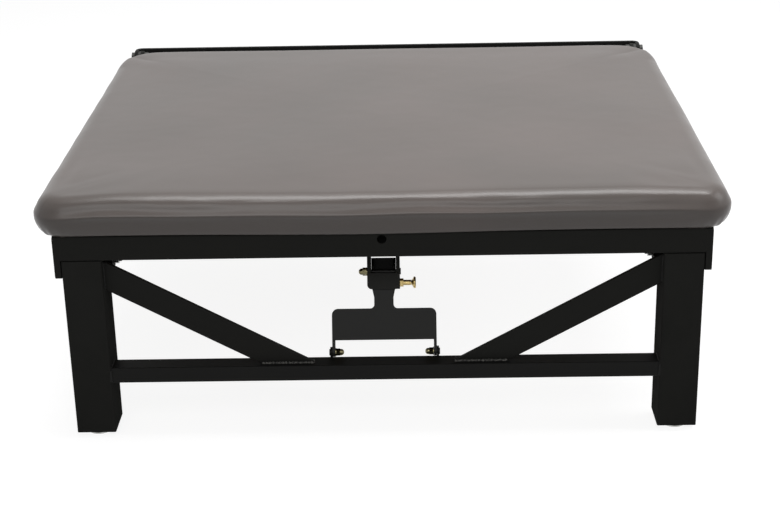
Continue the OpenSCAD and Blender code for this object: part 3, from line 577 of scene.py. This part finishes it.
# Wall hinge
# Plate arms welded to the rear rail swing on two bolts through the wall bracket's lugs.
# Dulled zinc bolts and lock nuts, a bronze bush in each arm and a dark nylon spacer beside it.

coat(["hinge_arm_left", "hinge_arm_right"], deck_powder)

dull_zinc, tree = new_finish("dulled_zinc_plate")
place = add(tree, "ShaderNodeTexCoord").outputs["Object"]
# Old plate goes grey in blotches about 5 mm wide.
blotch = add(tree, "ShaderNodeTexNoise", [("Scale", 1 / 0.005), ("Detail", 3.0)], [("Vector", place)])
colour = add(tree, "ShaderNodeMix", [("data_type", "RGBA"), (6, linear("#3a3a39")), (7, linear("#525250"))],
             [(0, blotch.outputs[0])])
shader = add(tree, "ShaderNodeBsdfPrincipled", [("Metallic", 1.0), ("Roughness", 0.52)],
             [("Base Color", colour.outputs[2])])
add(tree, "ShaderNodeOutputMaterial", [], [("Surface", shader.outputs[0])])
coat(["hinge_bolts", "hinge_nuts"], dull_zinc)

bronze, tree = new_finish("sintered_bronze_bush")
place = add(tree, "ShaderNodeTexCoord").outputs["Object"]
speck = add(tree, "ShaderNodeTexNoise", [("Scale", 1 / 0.0008), ("Detail", 2.0)], [("Vector", place)])
colour = add(tree, "ShaderNodeMix", [("data_type", "RGBA"), (6, linear("#8a6a3c")), (7, linear("#b98f52"))],
             [(0, speck.outputs[0])])
shader = add(tree, "ShaderNodeBsdfPrincipled", [("Metallic", 1.0), ("Roughness", 0.45)],
             [("Base Color", colour.outputs[2])])
add(tree, "ShaderNodeOutputMaterial", [], [("Surface", shader.outputs[0])])
coat(["hinge_bushes"], bronze)

# Nylon filled with graphite, so that it runs dry on steel: a dark, dull grey.
nylon, tree = new_finish("graphite_filled_nylon_spacer")
place = add(tree, "ShaderNodeTexCoord").outputs["Object"]
cloud = add(tree, "ShaderNodeTexNoise", [("Scale", 1 / 0.006), ("Detail", 2.0)], [("Vector", place)])
colour = add(tree, "ShaderNodeMix", [("data_type", "RGBA"), (6, linear("#262625")), (7, linear("#333331"))],
             [(0, cloud.outputs[0])])
shader = add(tree, "ShaderNodeBsdfPrincipled",
             [("Roughness", 0.55), ("IOR", 1.53), ("Specular IOR Level", 0.3)],
             [("Base Color", colour.outputs[2])])
add(tree, "ShaderNodeOutputMaterial", [], [("Surface", shader.outputs[0])])
coat(["hinge_spacers", "leg_pin_washers"], nylon)

plastic, tree = new_finish("black_moulded_plastic")
place = add(tree, "ShaderNodeTexCoord").outputs["Object"]
# Spark-eroded mould texture, grit about 0.3 mm, drawn at 0.8 mm.
grit = add(tree, "ShaderNodeTexNoise", [("Scale", 1 / 0.0008), ("Detail", 2.0)], [("Vector", place)])
relief = add(tree, "ShaderNodeBump", [("Strength", 0.25), ("Distance", 0.0002)],
             [("Height", grit.outputs[0])])
colour = add(tree, "ShaderNodeMix", [("data_type", "RGBA"), (6, linear("#121212")), (7, linear("#1b1b1a"))],
             [(0, grit.outputs[0])])
shader = add(tree, "ShaderNodeBsdfPrincipled",
             [("Roughness", 0.58), ("IOR", 1.5), ("Specular IOR Level", 0.4)],
             [("Base Color", colour.outputs[2]), ("Normal", relief.outputs[0])])
add(tree, "ShaderNodeOutputMaterial", [], [("Surface", shader.outputs[0])])
coat(["rear_rail_caps", "leg_foot_plugs"], plastic)

# Beads run across each arm's thickness, and stop 1 mm short of its faces.
low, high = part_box("hinge_arm_right")
inner, outer = low.x + 0.001, high.x - 0.001
for side, tag in ((-1, "left"), (1, "right")):
    for level, z in (("low", low.z + 0.001), ("high", rear_high.z - 0.002)):
        weld_bead(f"weld_hinge_arm_{tag}_{level}", (side * inner, rear_high.y, z),
                  (side * outer, rear_high.y, z), PLAIN_BEAD, "deck", weld_powder, seed=7)


# Ears and leg pins
# Two plates welded to each front corner hold a bolt that the leg turns on.
# Laser-cut steel under the same powder, with a black oxide bolt, a zinc nut and dark nylon washers.

coat(["ear_outer_left", "ear_outer_right", "ear_inner_left", "ear_inner_right"], deck_powder)
coat(["leg_pin_nuts"], zinc)

oxide, tree = new_finish("black_oxide_bolt")
place = add(tree, "ShaderNodeTexCoord").outputs["Object"]
stain = add(tree, "ShaderNodeTexNoise", [("Scale", 1 / 0.005), ("Detail", 3.0)], [("Vector", place)])
colour = add(tree, "ShaderNodeMix", [("data_type", "RGBA"), (6, linear("#1b1b1b")), (7, linear("#2c2b29"))],
             [(0, stain.outputs[0])])
gloss = add(tree, "ShaderNodeMapRange", [("To Min", 0.30), ("To Max", 0.46)], [("Value", stain.outputs[0])])
rounded = add(tree, "ShaderNodeBevel", [("samples", 4), ("Radius", 0.0006)])
shader = add(tree, "ShaderNodeBsdfPrincipled", [("Metallic", 0.6)],
             [("Base Color", colour.outputs[2]), ("Roughness", gloss.outputs[0]),
              ("Normal", rounded.outputs[0])])
add(tree, "ShaderNodeOutputMaterial", [], [("Surface", shader.outputs[0])])
coat(["leg_pin_bolts", "stay_pivot_bolts", "catch_bolt"], oxide)

for side, tag in ((-1, "left"), (1, "right")):
    low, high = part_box(f"ear_inner_{tag}")
    x = high.x if side < 0 else low.x
    weld_bead(f"weld_ear_inner_{tag}", (x, rail_high.y + SHORT, rail_low.z), (x, high.y - SHORT, rail_low.z),
              WIDE_BEAD, "deck", weld_powder, seed=11)
    low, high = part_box(f"ear_outer_{tag}")
    x = high.x if side < 0 else low.x
    weld_bead(f"weld_ear_outer_{tag}", (x, low.y + 0.006, rail_low.z), (x, high.y - 0.008, rail_low.z),
              NARROW_BEAD, "deck", weld_powder, seed=12)


# Legs
# Square steel tube, 76 mm on a side, with a sleeve through the top for the pin.
# Powder coated black; a black plastic plug closes the foot and holds the glide's thread.

leg_powder = powder_coat("black_powder_coat_on_leg_tube",
                         "#373735", "#454543", roughness=0.85, specular=0.012)
coat(["leg_left", "leg_right", "leg_top_caps"], leg_powder)
coat(["leg_sleeves"], zinc)


# Crossbar and braces
# A rectangular tube between the legs, and two flat bars down to it, all welded.
# The toes of the braces show rough grey beads along the top of the crossbar.

# The crossbar's black is drawn darker than the other tubes': a painted shade, for the deck's shadow over it.
shaded_bar_powder = powder_coat("black_powder_coat_on_crossbar",
                         "#111110", "#30302d", roughness=0.56, specular=0.12)
brace_powder = powder_coat("black_powder_coat_on_braces",
                           "#171715", "#2a2a28", roughness=0.62, specular=0.12)
coat(["crossbar"], shaded_bar_powder)
coat(["brace_left", "brace_right"], brace_powder)

# The toe welds are rough, and the powder leaves pale specks of spatter bare, 2 to 3 mm wide.
spatter, tree = new_finish("thin_powder_coat_over_spatter")
place = add(tree, "ShaderNodeTexCoord").outputs["Object"]
drops = add(tree, "ShaderNodeTexNoise", [("Scale", 1 / 0.0035), ("Detail", 3.0), ("Roughness", 0.6)],
            [("Vector", place)])
colour = add(tree, "ShaderNodeValToRGB", [], [("Fac", drops.outputs[0])])
coated, bare = colour.color_ramp.elements
coated.position = 0.44
coated.color = linear("#1b1b1a")
bare.position = 0.60
bare.color = linear("#6d6c68")
relief = add(tree, "ShaderNodeBump", [("Strength", 0.5), ("Distance", 0.0008)],
             [("Height", drops.outputs[0])])
shader = add(tree, "ShaderNodeBsdfPrincipled",
             [("Roughness", 0.55), ("IOR", 1.5), ("Specular IOR Level", 0.30)],
             [("Base Color", colour.outputs[0]), ("Normal", relief.outputs[0])])
add(tree, "ShaderNodeOutputMaterial", [], [("Surface", shader.outputs[0])])

BRACE_WIDTH = 0.051
TOE_BEAD = 0.0065
bar_low, bar_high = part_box("crossbar")
for side, tag in ((-1, "left"), (1, "right")):
    low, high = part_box(f"brace_{tag}")
    toe = min(abs(low.x), abs(high.x))
    # The foot of the brace is as long as its width over the sine of its slope.
    slope = math.atan2(high.z - bar_high.z, max(abs(low.x), abs(high.x)) - toe)
    heel = toe + BRACE_WIDTH / math.sin(slope)
    for face, y in (("front", low.y), ("rear", high.y)):
        weld_bead(f"weld_brace_toe_{tag}_{face}", (side * (toe + 0.001), y, bar_high.z),
                  (side * (heel - 0.001), y, bar_high.z), TOE_BEAD, "leg_frame", spatter,
                  pitch=TOE_BEAD, rough=0.32, seed=21)
    x = side * max(abs(low.x), abs(high.x))
    foot_of_head = high.z - BRACE_WIDTH / math.cos(slope)
    for face, y in (("front", low.y), ("rear", high.y)):
        weld_bead(f"weld_brace_head_{tag}_{face}", (x, y, foot_of_head + 0.001), (x, y, high.z - 0.001),
                  WIDE_BEAD, "leg_frame", weld_powder, seed=22)
    for face, y in (("front", bar_low.y), ("rear", bar_high.y)):
        weld_bead(f"weld_bar_{tag}_{face}", (x, y, bar_low.z + SHORT), (x, y, bar_high.z - SHORT),
                  PLAIN_BEAD, "leg_frame", weld_powder, seed=23)
    weld_bead(f"weld_bar_{tag}_top", (x, bar_low.y + SHORT, bar_high.z), (x, bar_high.y - SHORT, bar_high.z),
              PLAIN_BEAD, "leg_frame", weld_powder, seed=24)


# Stay
# A pressed sheet-steel tee with folded edges, hinged on two tabs behind the crossbar.
# Its powder is a shade greyer than the tube's, and the cap nuts are yellow zinc, shiny enough
# to mirror the dark steel round them; their plate is drawn darker than yellow zinc is, a painted dark
# reflection.

stay_powder = powder_coat("black_powder_coat_on_stay",
                          "#232322", "#333330", roughness=0.50, specular=0.20)
coat(["stay_plate", "stay_flange_left", "stay_flange_right"], stay_powder)
# The head slides in its bracket, and its powder is drawn near black: a painted shade, for the deck's shadow
# over it.
head_shade_powder = powder_coat("shaded_black_powder_coat_on_stay_head",
                             "#090908", "#161615", roughness=0.50, specular=0.08)
coat(["stay_head"], head_shade_powder)
# The tabs take the crossbar's darker black, with its painted shade.
coat(["stay_tab_left", "stay_tab_right"], shaded_bar_powder)

yellow_zinc, tree = new_finish("yellow_zinc_plate")
place = add(tree, "ShaderNodeTexCoord").outputs["Object"]
# Chromate over zinc: warm and greenish patches about 4 mm wide.
patch = add(tree, "ShaderNodeTexNoise", [("Scale", 1 / 0.004), ("Detail", 2.0)], [("Vector", place)])
# Both colours are darker than yellow zinc plate: a painted dark reflection of the steel round the nuts.
colour = add(tree, "ShaderNodeValToRGB", [], [("Fac", patch.outputs[0])])
olive, straw = colour.color_ramp.elements
olive.position = 0.35
olive.color = linear("#575340")
straw.position = 0.65
straw.color = linear("#7c7558")
shader = add(tree, "ShaderNodeBsdfPrincipled", [("Metallic", 1.0), ("Roughness", 0.14)],
             [("Base Color", colour.outputs[0])])
add(tree, "ShaderNodeOutputMaterial", [], [("Surface", shader.outputs[0])])
coat(["stay_pivot_nuts", "catch_nut"], yellow_zinc)

# The tabs are welded on their outer sides only: the folded stay passes close by the inner ones.
for side, tag in ((-1, "left"), (1, "right")):
    low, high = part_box(f"stay_tab_{tag}")
    x = low.x if side < 0 else high.x
    weld_bead(f"weld_stay_tab_{tag}", (x, bar_high.y, low.z + 0.002), (x, bar_high.y, bar_high.z - 0.002),
              0.0035, "leg_frame", weld_powder, seed=31)


# Catch bracket
# A channel of steel plate welded under the centre rail, open behind, with a band across its front.
# The stay's head hooks over a bolt through it.

bracket_powder = powder_coat("black_powder_coat_on_catch_bracket",
                             "#323230", "#454542", roughness=0.62, specular=0.10)
coat(["catch_bracket"], bracket_powder)
low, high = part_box("catch_bracket")
for tag, edge in (("left", low.x), ("right", high.x)):
    x = edge * 0.93
    weld_bead(f"weld_catch_bracket_{tag}", (x, high.y - 0.050, high.z), (x, high.y - 0.004, high.z),
              PLAIN_BEAD, "deck", weld_powder, seed=41)


# Plunger
# A spring plunger screwed into the bracket's right wall, with a steel pin and spring.
# Its barrel and mushroom knob are turned brass, with fine lathe rings round them.

brass, tree = new_finish("turned_brass")
place = add(tree, "ShaderNodeTexCoord").outputs["Object"]
# Lathe feed is about 0.15 mm a turn, drawn at 0.8 mm.
rings = add(tree, "ShaderNodeTexWave",
            [("bands_direction", "X"), ("Scale", 1 / 0.0025), ("Distortion", 0.4)],
            [("Vector", place)])
relief = add(tree, "ShaderNodeBump", [("Strength", 0.12), ("Distance", 0.0001)],
             [("Height", rings.outputs[0])])
tarnish = add(tree, "ShaderNodeTexNoise", [("Scale", 1 / 0.009), ("Detail", 3.0)], [("Vector", place)])
colour = add(tree, "ShaderNodeValToRGB", [], [("Fac", tarnish.outputs[0])])
dim, clean = colour.color_ramp.elements
dim.position = 0.30
dim.color = linear("#8c7a50")
clean.position = 0.70
clean.color = linear("#cbb57c")
shader = add(tree, "ShaderNodeBsdfPrincipled", [("Metallic", 1.0), ("Roughness", 0.28)],
             [("Base Color", colour.outputs[0]), ("Normal", relief.outputs[0])])
add(tree, "ShaderNodeOutputMaterial", [], [("Surface", shader.outputs[0])])
coat(["plunger_barrel", "plunger_knob"], brass)

steel, tree = new_finish("bright_drawn_steel")
place = add(tree, "ShaderNodeTexCoord").outputs["Object"]
draw = add(tree, "ShaderNodeTexNoise", [("Scale", 1 / 0.002), ("Detail", 2.0)], [("Vector", place)])
gloss = add(tree, "ShaderNodeMapRange", [("To Min", 0.22), ("To Max", 0.36)], [("Value", draw.outputs[0])])
shader = add(tree, "ShaderNodeBsdfPrincipled", [("Metallic", 1.0), ("Base Color", linear("#a6a6a3"))],
             [("Roughness", gloss.outputs[0])])
add(tree, "ShaderNodeOutputMaterial", [], [("Surface", shader.outputs[0])])
coat(["plunger_pin", "plunger_spring"], steel)


# Levelling glides
# A zinc-plated steel disc on a threaded stem, turned to level the table.
# Pale, slightly scuffed plate where it rubs the floor.

glide_zinc, tree = new_finish("scuffed_zinc_glide")
place = add(tree, "ShaderNodeTexCoord").outputs["Object"]
scuff = add(tree, "ShaderNodeTexNoise", [("Scale", 1 / 0.003), ("Detail", 4.0), ("Roughness", 0.7)],
            [("Vector", place)])
colour = add(tree, "ShaderNodeMix", [("data_type", "RGBA"), (6, linear("#b8b9b6")), (7, linear("#d9d9d6"))],
             [(0, scuff.outputs[0])])
gloss = add(tree, "ShaderNodeMapRange", [("To Min", 0.35), ("To Max", 0.55)], [("Value", scuff.outputs[0])])
shader = add(tree, "ShaderNodeBsdfPrincipled", [("Metallic", 0.85)],
             [("Base Color", colour.outputs[2]), ("Roughness", gloss.outputs[0])])
add(tree, "ShaderNodeOutputMaterial", [], [("Surface", shader.outputs[0])])
coat(["glide_left", "glide_right"], glide_zinc)
coat(["glide_stem_left", "glide_stem_right"], zinc)


# Floor and air
# A plain pale floor that keeps the table's shadow, and a plain white surround.
# The surround is white to the eye and in reflections, and dimmer as a light.

floor_z = cad_box[0][2]
mesh = bmesh.new()
bmesh.ops.create_grid(mesh, x_segments=1, y_segments=1, size=14.0)
data = bpy.data.meshes.new("floor")
mesh.to_mesh(data)
mesh.free()
floor = bpy.data.objects.new("floor", data)
floor.location = (0, 0, floor_z - 0.0002)
bpy.context.scene.collection.objects.link(floor)
pale, tree = new_finish("pale_studio_floor")
path = add(tree, "ShaderNodeLightPath")
seen = add(tree, "ShaderNodeMath", [("operation", "MAXIMUM")],
           [(0, path.outputs["Is Camera Ray"]), (1, path.outputs["Is Glossy Ray"])])
bright = add(tree, "ShaderNodeBsdfDiffuse", [("Color", (0.30, 0.30, 0.30, 1))])
glow = add(tree, "ShaderNodeEmission", [("Color", (1, 1, 1, 1)), ("Strength", 0.89)])
white = add(tree, "ShaderNodeAddShader", [], [(0, bright.outputs[0]), (1, glow.outputs[0])])
grey = add(tree, "ShaderNodeBsdfDiffuse", [("Color", (0.20, 0.20, 0.20, 1))])
both = add(tree, "ShaderNodeMixShader", [],
           [(0, seen.outputs[0]), (1, grey.outputs[0]), (2, white.outputs[0])])
add(tree, "ShaderNodeOutputMaterial", [], [("Surface", both.outputs[0])])
data.materials.append(pale)

world = bpy.data.worlds.new("studio_air")
bpy.context.scene.world = world
world.use_nodes = True
tree = world.node_tree
tree.nodes.clear()
path = add(tree, "ShaderNodeLightPath")
clear = add(tree, "ShaderNodeMath", [("operation", "MAXIMUM")],
            [(0, path.outputs["Is Camera Ray"]), (1, path.outputs["Is Transmission Ray"])])
seen = add(tree, "ShaderNodeMath", [("operation", "MAXIMUM")],
           [(0, clear.outputs[0]), (1, path.outputs["Is Glossy Ray"])])
lit = add(tree, "ShaderNodeBackground", [("Color", (0.98, 0.99, 1, 1)), ("Strength", 0.14)])
shown = add(tree, "ShaderNodeBackground", [("Color", (1, 1, 1, 1)), ("Strength", 1.0)])
air = add(tree, "ShaderNodeMixShader", [],
          [(0, seen.outputs[0]), (1, lit.outputs[0]), (2, shown.outputs[0])])
add(tree, "ShaderNodeOutputWorld", [], [("Surface", air.outputs[0])])


# Lamps
# One broad soft box above the table, a little to the right,
# and weaker ones above its rear, at its right and in front.

def soft_box(name, place, aim, size, power):
    """A rectangular lamp at place, turned to aim, with its sizes in metres and its power in watts."""
    lamp = bpy.data.lights.new(name, "AREA")
    lamp.shape = "RECTANGLE"
    lamp.size, lamp.size_y = size
    lamp.energy = power
    holder = bpy.data.objects.new(name, lamp)
    bpy.context.scene.collection.objects.link(holder)
    holder.location = place
    holder.rotation_euler = (Vector(aim) - Vector(place)).to_track_quat("-Z", "Y").to_euler()


soft_box("overhead_soft_box", (0.50, -0.79, 2.5), aim=(0.50, -0.74, 0.0), size=(2.9, 1.0), power=70)
soft_box("rear_soft_box", (0.50, 0.28, 2.5), aim=(0.50, 0.20, 0.0), size=(2.9, 1.4), power=17)
soft_box("right_soft_box", (2.6, -0.9, 1.3), aim=(0.2, -0.6, 0.0), size=(1.2, 1.2), power=11)
soft_box("front_soft_box", (-0.4, -3.7, 2.2), aim=(0.0, -0.9, -0.1), size=(2.4, 1.4), power=25)


# Camera
# A moderate telephoto looking down on the table from in front, as the photograph was taken.
# Its place is in metres and its angles in degrees.

LENS, VIEW_SHIFT = 70.58, -0.114
EYE = (0.0597, -3.6926, 1.0798)
TURN, LOOK_DOWN, TILT = 0.891, 19.896, -1.142
camera = bpy.data.cameras.new("camera")
camera.sensor_width = 36.0
camera.lens = LENS
camera.shift_y = VIEW_SHIFT
camera.clip_end = 60.0
eye = bpy.data.objects.new("camera", camera)
bpy.context.scene.collection.objects.link(eye)
eye.matrix_world = (Matrix.Translation(EYE) @ Matrix.Rotation(math.radians(TURN), 4, "Z")
                    @ Matrix.Rotation(math.radians(90 - LOOK_DOWN), 4, "X")
                    @ Matrix.Rotation(math.radians(TILT), 4, "Z"))
bpy.context.scene.camera = eye
bpy.context.scene.view_settings.view_transform = "Standard"
